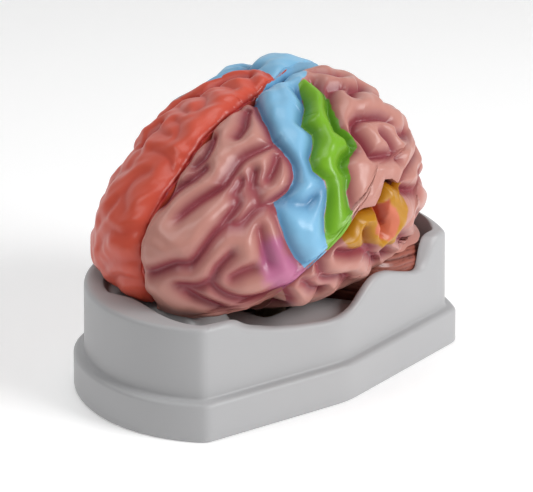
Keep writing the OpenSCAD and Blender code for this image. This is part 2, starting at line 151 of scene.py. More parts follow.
def mix_colour(tree, mask, first, second):
    """Mixes two colours, each a socket or a plain colour, by a mask socket."""
    node = add_node(tree, "ShaderNodeMix", {"data_type": "RGBA"})
    tree.links.new(mask, node.inputs["Factor"])
    for socket, colour in ((node.inputs[6], first), (node.inputs[7], second)):
        if isinstance(colour, bpy.types.NodeSocket):
            tree.links.new(colour, socket)
        else:
            socket.default_value = (*colour, 1)
    return node.outputs[2]


# Moulded or cast plastic is never quite even: a faint waviness and a fine grain in its surface.
cast_skin, skin_in, skin_out = new_group(
    "Cast Skin",
    [("Wave Size", "NodeSocketFloat", 60.0), ("Grain Size", "NodeSocketFloat", 1500.0),
     ("Gloss", "NodeSocketFloat", 0.35), ("Gloss Change", "NodeSocketFloat", 0.1)],
    [("Height", "NodeSocketFloat"), ("Roughness", "NodeSocketFloat")],
)
place = add_node(cast_skin, "ShaderNodeTexCoord")
wave = add_node(cast_skin, "ShaderNodeTexNoise", Detail=3.0, Roughness=0.5)
grain = add_node(cast_skin, "ShaderNodeTexNoise", Detail=2.0, Roughness=0.6)
for noise, size in ((wave, "Wave Size"), (grain, "Grain Size")):
    cast_skin.links.new(place.outputs["Object"], noise.inputs["Vector"])
    cast_skin.links.new(skin_in.outputs[size], noise.inputs["Scale"])
fine = add_node(cast_skin, "ShaderNodeMath", {"operation": "MULTIPLY"})
fine.inputs[1].default_value = 0.12
cast_skin.links.new(grain.outputs["Fac"], fine.inputs[0])
both = add_node(cast_skin, "ShaderNodeMath", {"operation": "ADD"})
cast_skin.links.new(wave.outputs["Fac"], both.inputs[0])
cast_skin.links.new(fine.outputs[0], both.inputs[1])
cast_skin.links.new(both.outputs[0], skin_out.inputs["Height"])
centred = add_node(cast_skin, "ShaderNodeMath", {"operation": "SUBTRACT"})
centred.inputs[1].default_value = 0.5
cast_skin.links.new(wave.outputs["Fac"], centred.inputs[0])
gloss = add_node(cast_skin, "ShaderNodeMath", {"operation": "MULTIPLY_ADD", "use_clamp": True})
cast_skin.links.new(centred.outputs[0], gloss.inputs[0])
cast_skin.links.new(skin_in.outputs["Gloss Change"], gloss.inputs[1])
cast_skin.links.new(skin_in.outputs["Gloss"], gloss.inputs[2])
cast_skin.links.new(gloss.outputs[0], skin_out.inputs["Roughness"])


def new_finish(name, wave_size, grain_size, gloss, gloss_change, relief, coat=0.0):
    """A material with the uneven skin of a casting, whose base colour is still to be set."""
    finish = bpy.data.materials.new(name)
    finish.use_nodes = True
    tree = finish.node_tree
    shader = tree.nodes["Principled BSDF"]
    skin = add_node(tree, "ShaderNodeGroup", {"node_tree": cast_skin},
                    Wave_Size=wave_size, Grain_Size=grain_size, Gloss=gloss, Gloss_Change=gloss_change)
    bump = add_node(tree, "ShaderNodeBump", Strength=relief, Distance=0.001)
    tree.links.new(skin.outputs["Height"], bump.inputs["Height"])
    tree.links.new(bump.outputs["Normal"], shader.inputs["Normal"])
    tree.links.new(skin.outputs["Roughness"], shader.inputs["Roughness"])
    shader.inputs["Coat Weight"].default_value = coat
    shader.inputs["Coat Roughness"].default_value = 0.16
    return finish, tree, shader, skin


base_finish, tree, shader, skin = new_finish("base_plastic", 22.0, 2600.0, 0.42, 0.16, 0.16)
shader.inputs["Specular IOR Level"].default_value = 0.42
tree.links.new(
    mix_colour(tree, skin.outputs["Height"], (0.415, 0.415, 0.425), (0.45, 0.45, 0.455)),
    shader.inputs["Base Color"],
)

turn = np.sort(np.concatenate([np.arange(0, 360, 0.5)]
                              + [c + np.linspace(-1.1, 1.1, 12) for c in (293.6, 344.9, 48.1, 131.9)]))
turn = np.radians(turn)
wall_x = hub[0] + plan_reach(turn, ledge_w) * np.cos(turn)
wall_y = hub[1] + plan_reach(turn, ledge_w) * np.sin(turn)
wall_h = front_h + np.where(
    wall_x > 0, soft_lookup(wall_y, left_rise + rear_rise), soft_lookup(wall_y, right_rise + rear_rise)
)
front = np.exp(-((wall_x + 10) / 28) ** 2) * (1 - smooth(wall_y, -60, -35))
corner = smooth(-wall_x, 12, 34) * (1 - smooth(wall_y, -52, -32))
lip = mix(mix(lip_w, front_lip_w, np.maximum(front, corner * 0.6)), back_lip_w, smooth(wall_y, 10, 30))
lip += 4.0 * np.exp(-((turn - math.radians(50)) / 0.16) ** 2)
inner_h = wall_h + lip_rise * front - 1.0 * corner
level = np.ones_like(turn)
outline = [(1.4 * level, 0 * level), (0.9 * level, 0.15 * level), (0.35 * level, 0.7 * level), (0.1 * level, 1.6 * level)]
for share in (0.2, 0.4, 0.6, 0.8, 1.0):
    outline.append(((0.1 + 0.3 * share) * level, (1.6 + (plinth_h - 3.8) * share) * level))
for deg in (15, 30, 45, 60, 75, 90):
    a = math.radians(deg)
    outline.append(((2.6 - 2.2 * math.cos(a)) * level, (plinth_h - 2.2 + 2.2 * math.sin(a)) * level))
outline.append(((ledge_w - 1.4) * level, (plinth_h + 0.05) * level))
for deg in (20, 45, 70, 90):
    a = math.radians(deg)
    outline.append(((ledge_w - 1.4 + 1.4 * math.sin(a)) * level, (plinth_h + 1.45 - 1.4 * math.cos(a)) * level))
for share in np.linspace(0.08, 1, 12):
    outline.append(((ledge_w + 0.8 * share) * level, mix(plinth_h + 1.5, wall_h - 2.6, share)))
for deg in (15, 30, 45, 60, 75, 90):
    a = math.radians(deg)
    outline.append(((ledge_w + 3.2 - 2.4 * math.cos(a)) * level, wall_h - 2.6 + 2.6 * math.sin(a)))
edge = np.minimum(1.1, (lip - 2.9) / 2)
for share in (0.25, 0.5, 0.75, 1.0):
    outline.append((mix(ledge_w + 3.2, ledge_w + lip - edge, share), mix(wall_h, inner_h, share)))
for deg in (30, 60, 90):
    a = math.radians(deg)
    outline.append((ledge_w + lip - edge + edge * math.sin(a), inner_h - edge + edge * math.cos(a)))
rows = []
for inset, z in outline:
    r = plan_reach(turn, inset)
    rows.append(np.stack([hub[0] + r * np.cos(turn), hub[1] + r * np.sin(turn), z], 1))
hollow_r = plan_reach(turn, ledge_w + lip)
for share in np.concatenate([[0.996, 0.985, 0.97], np.linspace(0.95, 0.02, 64)]):
    x, y = hub[0] + share * hollow_r * np.cos(turn), hub[1] + share * hollow_r * np.sin(turn)
    floor = np.minimum(floor_z(x, y), inner_h - 2)
    drop = 1.0 if share < 0.98 else (0.45 if share > 0.99 else 0.93)
    rows.append(np.stack([x, y, mix(inner_h - edge, floor, drop)], 1))
points = np.concatenate(rows + [[[hub[0], hub[1], 0.0], [hub[0], hub[1], float(floor_z(hub[0], hub[1]))]]])
count, last = len(turn), len(rows) * len(turn)
faces = [
    (r * count + i, r * count + (i + 1) % count, (r + 1) * count + (i + 1) % count, (r + 1) * count + i)
    for r in range(len(rows) - 1) for i in range(count)
]
faces += [((i + 1) % count, i, last) for i in range(count)]
faces += [(last - count + i, last - count + (i + 1) % count, last + 1) for i in range(count)]
base_piece = make_piece("base_moulding", points, faces, "base")
base_piece.data.materials.append(base_finish)
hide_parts("base")

# ---- Right half -------------------------------------------------------------------------------
# The right half is one hollow casting with its halves of the cerebellum and brainstem, brushed and
# sprayed in a colour for each lobe under clear varnish, and set down into the hollow of the base.

half_w, mid_y, mid_z = 70.0, 9.5, 84.0
gap, fold_d, fold_w, broad, crease_round, lump_d = 0.6, 9.4, 6.8, 1.3, 0.7, 0.7
cleft_d, cleft_w = 8.0, 14.0
pole_d, pole_w, seam_d = 10.0, 9.0, 6.5
right_fill, left_fill = 0.2, 0.05
nest, sink, edge_min = 2.0, 2.0, 6.0
reach_list = np.array([72, 72, 71, 69, 62, 61, 68, 80, 100, 92, 63, 51, 47, 47, 54, 66], float)
blunt_back, blunt_front, blunt_up = 2.6, 2.1, 2.2
cer_w, cer_l, cer_h, cer_y, cer_z = 54.5, 31.0, 26.0, 48.5, 42.0
stem_w = 16.0
seam = [
    (-109, -30), (-89, -32.5), (-79, -33.5), (-70, -31), (-65, -25), (-61, -17), (-51, -10),
    (-42, -5), (-32, 1), (-26, 4), (-20, 11), (-14, 12), (-6, 11), (-1, 15), (4, 21),
    (9, 20), (13.5, 16.5), (21, 21), (30, 23), (41, 24), (55, 28), (80, 34),
]
pole = [(-60, -30), (-41, -39), (-34, -49), (-26, -55), (-17, -61), (40, -62)]


def power(b, p):
    return np.where(b > 0, np.maximum(b, 1e-12) ** p, 0.0)


def reach(a):
    """Reach of the outline of a half, seen from the side, at an angle in radians."""
    n = len(reach_list)
    u = (a / (2 * np.pi) * n) % n
    i = np.floor(u).astype(int)
    t = u - i
    p0, p1, p2, p3 = (reach_list[(i + k) % n] for k in (-1, 0, 1, 2))
    return 0.5 * (2 * p1 + (p2 - p0) * t + (2 * p0 - 5 * p1 + 4 * p2 - p3) * t ** 2
                  + (3 * p1 - p0 - 3 * p2 + p3) * t ** 3)


def blunt(a):
    c = np.cos(a)
    return mix(blunt_up, np.where(c > 0, blunt_back, blunt_front), c * c)


def swell(y, z, fill):
    """How much fuller a half is low in front."""
    return 1 + fill * smooth(mid_z - z, 0, 24) * smooth(-y, 20, 50)


def outer(y, z, fill=0.0):
    """Height of the smooth half above the cleft."""
    dy, dz = y - mid_y, z - mid_z
    a = np.arctan2(dz, dy)
    n = blunt(a)
    return half_w * power(1 - power(np.hypot(dy, dz) / reach(a), n), 1 / n) * swell(y, z, fill)


def on_half(u, v, fill):
    """Place on the smooth half from the angles back and up, in degrees."""
    a = np.arctan2(v, u)
    t = np.radians(np.minimum(np.hypot(u, v), 90))
    n = blunt(a)
    r = reach(a) * power(np.sin(t), 2 / n)
    y, z = mid_y + r * np.cos(a), mid_z + r * np.sin(a)
    return np.stack([half_w * power(np.cos(t), 2 / n) * swell(y, z, fill), y, z], -1)


def side_angles(y, z):
    """The angles back and up of a place on the smooth half."""
    dy, dz = y - mid_y, z - mid_z
    a = np.arctan2(dz, dy)
    t = np.degrees(np.arcsin(np.clip(np.hypot(dy, dz) / reach(a), 0, 1) ** (blunt(a) / 2)))
    return t * np.cos(a), t * np.sin(a)


def out_dir(p):
    dy, dz = p[:, 1] - mid_y, p[:, 2] - mid_z
    a = np.arctan2(dz, dy)
    n, r = blunt(a), reach(a)
    fx = power(p[:, 0] / half_w, n - 1) / half_w
    fr = power(np.minimum(np.hypot(dy, dz) / r, 1), n - 1) / r
    v = np.stack([fx, fr * np.cos(a), fr * np.sin(a)], 1)
    return v / np.maximum(np.linalg.norm(v, axis=1), 1e-9)[:, None]


def line_dist(p, line):
    """Distance from each point to a line of joined stretches."""
    best = np.full(len(p), 1e9)
    for a, b in zip(line[:-1], line[1:]):
        ab = b - a
        t = np.clip((p - a) @ ab / (ab @ ab + 1e-9), 0, 1)
        best = np.minimum(best, np.linalg.norm(p - a - t[:, None] * ab, axis=1))
    return best


def round_off(d, w):
    return 1 - np.sqrt(np.maximum(1 - np.clip(1 - np.maximum(d, 0) / w, 0, 1) ** 2, 0))


def dip(d, w):
    """A crown is round and falls steeply to its crease, and a broad soft dip goes with it."""
    d = np.sqrt(d * d + crease_round ** 2) - crease_round
    return 0.68 * round_off(d, w) + 0.32 * (1 - smooth(d, 0, broad * w))


def soft_line(line, step=1.5):
    """The same line with its corners rounded, as a sculptor's tool would leave them."""
    if len(line) < 3:
        return line
    before, after = 2 * line[:1] - line[1:2], 2 * line[-1:] - line[-2:-1]
    knots = np.concatenate([before, line, after])
    out = []
    for a, b, c, d in zip(knots[:-3], knots[1:-2], knots[2:-1], knots[3:]):
        for t in np.linspace(0, 1, max(int(np.linalg.norm(c - b) / step), 2))[:-1]:
            out.append(0.5 * (2 * b + (c - a) * t + (2 * a - 5 * b + 4 * c - d) * t ** 2
                              + (3 * b - a - 3 * c + d) * t ** 3))
    return np.array(out + [line[-1]])


def fold_depth(p, folds):
    """Depth of the folds at each point, from lines with their own depth and width."""
    deep = np.zeros(len(p))
    for line, d, w in folds:
        middle = (line.min(0) + line.max(0)) / 2
        reach_out = np.linalg.norm(np.ptp(line, axis=0)) / 2 + broad * w
        near = np.nonzero(np.linalg.norm(p - middle, axis=1) < reach_out)[0]
        if len(near):
            deep[near] = np.maximum(deep[near], d * dip(line_dist(p[near], line), w))
    return deep


def folds_of(paths, fill, depth=fold_d):
    return [(soft_line(on_half(*np.array(path, float).T, fill), 2.5), depth, fold_w) for path in paths]


def seam_z(y):
    return mid_z + lookup(y - mid_y, seam)


def pole_y(z):
    return mid_y + lookup(z - mid_z, pole)


def cer_x(y, z, grow=0.0):
    """Half width of the cerebellum over a place seen from the side, grown by some space."""
    return (cer_w + grow) * power(
        1 - power(abs(y - cer_y) / (cer_l + grow), 3.2) - power(abs(z - cer_z) / (cer_h + grow), 2.6), 1 / 2.8)


def hollow(y, z, grow):
    """Hollow over the cerebellum and brainstem, open downwards."""
    stem = (stem_w + grow) * smooth(y, -24, -13) * (1 - smooth(y, 18, 30)) * (1 - smooth(z, 69, 80))
    return np.maximum(cer_x(y, np.maximum(z, cer_z), grow), stem)


inner_paths = [
    [(-38, -4), (-46, 4), (-44, 16), (-32, 24), (-12, 28), (8, 26), (22, 18), (26, 8), (20, 2)],
    [(-62, -8), (-66, 10), (-56, 28), (-34, 38), (-8, 42), (16, 40), (30, 50)],
    [(30, 6), (40, 22), (48, 40)],
    [(34, 2), (48, -2), (62, 0)],
]
inner_folds = [
    (np.array([(0, mid_y + y, mid_z + z) for y, z in path], float), 2.5, 5.0) for path in inner_paths
]


def inner(y, z, grow):
    flat = np.stack([np.zeros_like(y), y, z], 1)
    return np.maximum(gap / 2 + fold_depth(flat, inner_folds), hollow(y, z, grow))


def body_here(y, z, grow):
    o, h = outer(y, z), hollow(y, z, grow)
    return (o > 0) & ((h < 0.5) | (o - h > edge_min))


def in_half(y, z):
    return ((z > seam_z(y)) | (y > pole_y(z))) & body_here(y, z, -sink)


def disc(n):
    """Share of the way out and turn of the points of a round net, and its triangles."""
    share, turn = [0.0], [0.0]
    first = [0] + [1 + 3 * k * (k - 1) for k in range(1, n + 1)]
    for k in range(1, n + 1):
        share += [k / n] * (6 * k)
        turn += list(np.arange(6 * k) / (6 * k) * 2 * np.pi)

    def at(k, j):
        return 0 if k == 0 else first[k] + j % (6 * k)

    faces = []
    for k in range(1, n + 1):
        for s in range(6):
            for i in range(k):
                faces.append((at(k, s * k + i), at(k - 1, s * (k - 1) + i), at(k, s * k + i + 1)))
                if i < k - 1:
                    faces.append((at(k - 1, s * (k - 1) + i), at(k - 1, s * (k - 1) + i + 1), at(k, s * k + i + 1)))
    return np.array(share), np.array(turn), faces, first[n]


def lobe(centre, n, inside, top, carve, under, keep):
    """A casting with a domed outer face over a region seen from the side, and an inner face."""
    spread = np.radians(np.arange(0, 360.5, 0.5))
    c, s = np.cos(spread), np.sin(spread)
    r = np.full(len(spread), 2.5)
    going = np.ones(len(spread), bool)
    while going.any():
        going &= inside(centre[0] + r * c, centre[1] + r * s)
        r[going] += 1.25
    lo, hi = r - 1.25, r.copy()
    for _ in range(12):
        m = (lo + hi) / 2
        ok = inside(centre[0] + m * c, centre[1] + m * s)
        lo, hi = np.where(ok, m, lo), np.where(ok, hi, m)
    share, turn, faces, rim0 = disc(n)
    far = np.interp(turn, spread, lo)
    rim_y, rim_z = centre[0] + far * np.cos(turn), centre[1] + far * np.sin(turn)
    top_mid = float(top(np.array([centre[0]]), np.array([centre[1]]))[0])
    steep = np.clip(1 - top(rim_y, rim_z) / top_mid, 0, 1)
    t = mix(share, np.sin(share * np.pi / 2), steep) * far
    y, z = centre[0] + t * np.cos(turn), centre[1] + t * np.sin(turn)
    smooth_points = np.stack([top(y, z), y, z], 1)
    pairs = np.array([(f[i], f[(i + 1) % 3]) for f in faces for i in range(3)]).T
    ends, others = np.concatenate([pairs, pairs[::-1]], 1)
    near_count = np.bincount(ends)

    def soften(values, rounds):
        """Averages a value with the points around it, so that crowns come out round."""
        for _ in range(rounds):
            values = (values + np.bincount(ends, values[others]) / near_count) / 2
        return values

    carved, deep = carve(smooth_points, soften)
    ky, kz = keep(carved[:, 1], carved[:, 2])
    dome = np.stack([np.maximum(carved[:, 0], under(ky, kz) + 1.2), ky, kz], 1)
    rim = dome[rim0:]
    wall = rim.copy()
    wall[:, 0] = under(wall[:, 1], wall[:, 2])
    brim = rim.copy()
    brim[:, 0] = np.maximum(wall[:, 0], rim[:, 0] - 0.8)
    thin = (rim[:, 0] - wall[:, 0] < 4).astype(float)
    m = n // 2
    share2, turn2, faces2, inner0 = disc(m)
    place = turn2 / (2 * np.pi) * (6 * n)
    i = np.floor(place + 1e-9).astype(int)
    f = (place - i)[:, None]
    out = rim[i % (6 * n), 1:] * (1 - f) + rim[(i + 1) % (6 * n), 1:] * f
    s2 = np.where(share2 > 1 - 1e-9, 1 - 0.5 / m, share2)[:, None]
    flat = np.array(centre) * (1 - s2) + out * s2
    face = np.column_stack([under(flat[:, 0], flat[:, 1]), flat])
    nd, nw = len(dome), len(wall)
    w0, f0 = nd + nw, nd + 2 * nw
    faces = list(faces)
    for j in range(nw):
        k = (j + 1) % nw
        faces.append((rim0 + j, rim0 + k, nd + k, nd + j))
        faces.append((nd + j, nd + k, w0 + k, w0 + j))
    for j in range(6 * m):
        a, b, e = w0 + 2 * j, w0 + 2 * j + 1, w0 + (2 * j + 2) % nw
        p, q = f0 + inner0 + j, f0 + inner0 + (j + 1) % (6 * m)
        faces += [(a, b, p), (b, q, p), (b, e, q)]
    faces += [(f0 + a, f0 + c, f0 + b) for a, b, c in faces2]
    points = np.concatenate([dome, brim, wall, face])
    smooth_all = np.concatenate([smooth_points, smooth_points[rim0:], smooth_points[rim0:], face])
    on_dome = np.concatenate([np.ones(nd), thin, thin, np.zeros(len(face))])
    fold = np.concatenate([deep, deep[rim0:] * thin, deep[rim0:] * thin, np.zeros(len(face))])
    return points, faces, smooth_all, on_dome, fold


def carve_half(folds, edges, crest_front, crest_back, cleft_painted_shade):
    """Sinks the folds, the rounding into the long cleft and some slight lumps into the smooth half, and gives the
    mark that darkens the folds and the rim of the cleft.
    """
    def carve(p, soften):
        d = fold_depth(p, folds)
        d = 0.5 * d + 0.5 * soften(d, 30)
        d = np.maximum(d, fold_depth(p, edges))
        top_back = smooth(p[:, 1], -8, 12) * (1 - smooth(p[:, 1], 60, 85)) * smooth(p[:, 2], 95, 115)
        crest = mix(crest_front, crest_back, top_back)
        cleft = cleft_d * crest * round_off(p[:, 0], cleft_w * np.maximum(crest, 1))
        lumps = lump_d * (1 + np.sin(p[:, 1] * 0.43 + 2 * np.sin(p[:, 2] * 0.21))
                          * np.sin(p[:, 2] * 0.37 + 1.6 * np.sin(p[:, 0] * 0.24 + p[:, 1] * 0.11)))
        deep = np.maximum(d, cleft) + 0.7 * np.minimum(d, cleft) + lumps * (1 - np.clip(d / 3, 0, 1))
        # Darker in the folds: partly paint gathered there, partly painted shade. Darker at the rim of the cleft:
        # painted shade.
        paint_and_shade_mask = np.clip(np.maximum(d * 1.25, cleft * cleft_painted_shade) / fold_d, 0, 1) ** 1.4
        return p - soften(deep, 3)[:, None] * out_dir(p), soften(paint_and_shade_mask, 2)
    return carve


def paint_edge(p, on_dome, outline, fill):
    """Signed distance in millimetres to the outline of a painted area, positive inside it."""
    u, v = side_angles(p[:, 1], p[:, 2])
    ring = np.array(outline + outline[:1], float)
    inside = np.zeros(len(p), bool)
    for (u0, v0), (u1, v1) in zip(ring[:-1], ring[1:]):
        if v0 == v1:
            continue
        cut = (v0 > v) != (v1 > v)
        inside ^= cut & (u < (u1 - u0) * (v - v0) / (v1 - v0) + u0)
    dense = np.concatenate([np.linspace(a, b, 5)[:-1] for a, b in zip(ring[:-1], ring[1:])] + [ring[-1:]])
    d = line_dist(p, on_half(*dense.T, fill))
    return np.where(on_dome > 0, np.where(inside, d, -d), -20)


upper_paths = [
    [(-56, 56), (-50, 63), (-44, 72), (-38, 78)],
    [(-78, 15), (-72, 22), (-66, 27), (-62, 34), (-58, 41), (-52, 45), (-45, 48), (-41, 51)],
    [(-86, -9), (-80, -5), (-74, -2), (-69, -2), (-65, 3), (-62, 9), (-59, 12)],
    [(-60, 12), (-54, 11), (-51, 16), (-46, 18), (-42, 18)],
    [(-53, 34), (-54, 28), (-52, 22), (-50, 17)],
    [(-43, 41), (-46, 33), (-48, 29)],
    [(-58, 30), (-60, 24), (-58, 19), (-60, 13)],
    [(-74, -11), (-66, -10), (-61, -7), (-59, -3), (-54, 2)],
    [(-62, -8), (-58, -12), (-52, -14.5), (-45, -13), (-40, -10)],
    [(-72, -13), (-66, -16), (-60, -19), (-54, -22)],
    [(-54, -6), (-50, -4), (-46, -3)],
    [(-47, 9), (-44, 4), (-41, -2)],
    [(-25, 86), (-32, 78), (-37, 70), (-40, 60), (-42, 52), (-40, 44), (-38, 36), (-38, 28),
     (-41, 21), (-46, 18), (-42, 12), (-37, 5), (-33, 0), (-30, -4)],
    [(-66, 58), (-69, 51), (-72, 45), (-77, 40)],
    [(-87, 20), (-83, 28), (-77, 33), (-72, 38)],
    [(0, 79), (-8, 70), (-16, 65), (-22, 60), (-21, 53), (-25, 46), (-30, 38), (-30, 31),
     (-26, 25), (-25, 17), (-25, 9), (-23, 4)],
    [(-42, 20), (-38, 17), (-33, 15), (-30, 18)],
    [(13, 76), (8, 66), (0, 61), (-4, 56), (-7, 50), (-4, 44), (-6, 38), (-13, 36), (-17, 32),
     (-16, 25), (-17, 18), (-16, 10)],
    [(2, 31), (2, 38), (1, 45), (4, 48), (9, 48), (15, 44), (21, 41), (26, 37)],
    [(2, 31), (7, 27), (12, 24)],
    [(8, 66), (14, 68), (20, 64)],
    [(18, 58), (24, 60), (31, 56), (38, 58)],
    [(14, 35), (16, 28), (15, 21)],
    [(25, 30), (32, 27), (40, 28)],
    [(24, 78), (28, 70), (36, 68)],
    [(34, 48), (42, 44), (50, 46)],
    [(50, 60), (52, 52), (58, 44), (66, 38)],
]
lower_paths = [
    [(-24, -4), (-24, -10), (-22, -16), (-20, -22), (-17, -30), (-12, -38), (-8, -44)],
    [(-31, -9), (-29, -16), (-28, -24), (-30, -33)],
    [(-17, -3), (-13, -5), (-9, -8), (-8, -13), (-4, -19), (2, -25), (8, -29), (15, -34)],
    [(-3, 10), (-1, 4), (0.5, 0), (0.5, -4)],
    [(-6.5, 0), (-6.5, -3), (-7.5, -7), (-6, -12)],
    [(11, 8), (16, 6), (24, 4)],
    [(6, -17), (12, -22), (20, -28)],
    [(12, -8), (20, -13), (28, -20)],
    [(22, -4), (30, -8), (38, -10)],
    [(28, 10), (36, 6), (46, 4)],
    [(44, 16), (52, 8), (62, 4), (72, 6)],
    [(40, -20), (50, -16), (62, -14)],
    [(56, 22), (66, 20), (76, 24)],
]
right_front_paths = [
    [(-17, 89), (-10, 85), (-2, 81), (6, 76)],
    [(3, 88), (8, 82), (11, 75), (13, 68), (10, 58), (4, 50)],
    [(-22, 79), (-18, 75), (-15, 70), (-16, 62)],
    [(-46, 62), (-42, 66), (-35, 67), (-28, 65), (-24, 60)],
    [(-46, 57), (-41, 54), (-34, 52)],
    [(-64, 47), (-60, 50), (-54, 52), (-49, 50)],
    [(-60, 45), (-54, 42), (-48, 40)],
    [(-80, 34), (-74, 38), (-67, 37), (-61, 34)],
    [(-72, 28), (-68, 22), (-69, 16), (-76, 12)],
    [(-67, 12), (-64, 6), (-59, 2)],
    [(-56, 28), (-49, 30), (-42, 27), (-38, 20)],
    [(-58, 22), (-52, 16), (-46, 14)],
    [(-87, 8), (-80, 4), (-72, 3), (-64, -4)],
    [(-89, -4), (-82, -6), (-75, -8), (-68, -13)],
    [(-86, -14), (-78, -14), (-72, -18)],
    [(-32, 44), (-26, 50), (-20, 52), (-16, 60)],
]


def edge_folds(fill, seam_depth=seam_d):
    """The rounding beside the seam and at the front of the temporal lobe."""
    lines = []
    for table in (seam, [(back, up) for up, back in pole if up < 0]):
        spots = [(mid_y + back, mid_z + up) for back, up in table if outer(mid_y + back, mid_z + up) > 4]
        lines.append(np.array([(outer(y, z, fill), y, z) for y, z in spots], float))
    return [(lines[0], seam_depth, fold_w), (lines[1], pole_d, pole_w)]


right_folds = (
    folds_of(right_front_paths, right_fill, 4.2)
    + folds_of([path for path in upper_paths if path[0][0] > -50 and math.hypot(*path[0]) < 80], right_fill)
    + folds_of(lower_paths, right_fill)
)

points, faces, plain, on_dome, fold = lobe(
    (mid_y + 4, mid_z + 10), 132, in_half, lambda y, z: outer(y, z, right_fill),
    carve_half(right_folds, edge_folds(right_fill), 1.0, 0.5, 1.1),
    lambda y, z: inner(y, z, -sink), lambda y, z: (y, z))
frontal_back = [(3, 92), (8, 82), (11, 75), (13, 68), (5, 66), (-4, 67), (-9, 60), (-16, 50),
                (-24, 30), (-30, 10), (-34, -4), (-60, -40), (-92, -40), (-92, 92)]
parietal = [(-10, 92), (-10, 60), (-24, 30), (-30, 8), (-18, 6), (-4, 14), (10, 20), (28, 24),
            (44, 40), (66, 62), (80, 92)]
occipital = [(28, 24), (36, 8), (40, -40), (92, -40), (92, 92), (80, 92), (66, 62), (44, 40)]
painted = np.ones_like(on_dome)
marks = {
    "fold": fold,
    "frontal": paint_edge(plain, painted, frontal_back, right_fill),
    "parietal": paint_edge(plain, painted, parietal, right_fill),
    "occipital": paint_edge(plain, painted, occipital, right_fill),
    "inner_face": 1 - on_dome,
}
mirrored = points * np.array([-1, 1, 1])
right_piece = make_piece("right_hemisphere", mirrored, [f[::-1] for f in faces], "base", marks)

# Paint thins over a crown and gathers in the fold beside it; the darker fold is also painted shade. Its colour is
# never quite even.
fold_paint_and_shade, fold_in, fold_out = new_group(
    "Fold Paint and Shade",
    [("Crown", "NodeSocketColor", (0.6, 0.3, 0.25, 1)), ("Valley", "NodeSocketColor", (0.3, 0.05, 0.06, 1)),
     ("Fold", "NodeSocketFloat", 0.0), ("Unevenness", "NodeSocketFloat", 0.3)],
    [("Color", "NodeSocketColor")],
)
place = add_node(fold_paint_and_shade, "ShaderNodeTexCoord")
blotch = add_node(fold_paint_and_shade, "ShaderNodeTexNoise", Scale=38.0, Detail=3.0, Roughness=0.55)
fold_paint_and_shade.links.new(place.outputs["Object"], blotch.inputs["Vector"])
shift = add_node(fold_paint_and_shade, "ShaderNodeMath", {"operation": "SUBTRACT"})
shift.inputs[1].default_value = 0.5
fold_paint_and_shade.links.new(blotch.outputs["Fac"], shift.inputs[0])
uneven = add_node(fold_paint_and_shade, "ShaderNodeMath", {"operation": "MULTIPLY_ADD"})
fold_paint_and_shade.links.new(shift.outputs[0], uneven.inputs[0])
fold_paint_and_shade.links.new(fold_in.outputs["Unevenness"], uneven.inputs[1])
fold_paint_and_shade.links.new(fold_in.outputs["Fold"], uneven.inputs[2])
# How far the colour has gone to the valley colour: paint gathered in the fold, and painted shade.
fold_darkening = add_node(fold_paint_and_shade, "ShaderNodeMapRange", {"interpolation_type": "SMOOTHSTEP"})
fold_darkening.inputs["From Min"].default_value = 0.0
fold_darkening.inputs["From Max"].default_value = 0.85
fold_paint_and_shade.links.new(uneven.outputs[0], fold_darkening.inputs["Value"])
fold_paint_and_shade.links.new(
    mix_colour(fold_paint_and_shade, fold_darkening.outputs["Result"], fold_in.outputs["Crown"], fold_in.outputs["Valley"]),
    fold_out.inputs["Color"],
)

# A painted border is cut in by hand, so it is sharp but wavers a little.
brushed_edge, edge_in, edge_out = new_group(
    "Brushed Edge",
    [("Distance", "NodeSocketFloat", 0.0), ("Softness", "NodeSocketFloat", 0.3),
     ("Waver", "NodeSocketFloat", 0.8)],
    [("Mask", "NodeSocketFloat")],
)
place = add_node(brushed_edge, "ShaderNodeTexCoord")
hand = add_node(brushed_edge, "ShaderNodeTexNoise", Scale=240.0, Detail=2.0)
brushed_edge.links.new(place.outputs["Object"], hand.inputs["Vector"])
shift = add_node(brushed_edge, "ShaderNodeMath", {"operation": "SUBTRACT"})
shift.inputs[1].default_value = 0.5
brushed_edge.links.new(hand.outputs["Fac"], shift.inputs[0])
moved = add_node(brushed_edge, "ShaderNodeMath", {"operation": "MULTIPLY_ADD"})
brushed_edge.links.new(shift.outputs[0], moved.inputs[0])
brushed_edge.links.new(edge_in.outputs["Waver"], moved.inputs[1])
brushed_edge.links.new(edge_in.outputs["Distance"], moved.inputs[2])
low = add_node(brushed_edge, "ShaderNodeMath", {"operation": "MULTIPLY"})
low.inputs[1].default_value = -1.0
brushed_edge.links.new(edge_in.outputs["Softness"], low.inputs[0])
cut = add_node(brushed_edge, "ShaderNodeMapRange", {"interpolation_type": "SMOOTHSTEP"})
brushed_edge.links.new(moved.outputs[0], cut.inputs["Value"])
brushed_edge.links.new(low.outputs[0], cut.inputs["From Min"])
brushed_edge.links.new(edge_in.outputs["Softness"], cut.inputs["From Max"])
brushed_edge.links.new(cut.outputs["Result"], edge_out.inputs["Mask"])

# The valley colours are the dark of the folds: partly paint gathered there, partly painted shade.
flesh_crown, flesh_valley_paint_and_shade = (0.52, 0.242, 0.20), (0.28, 0.055, 0.07)


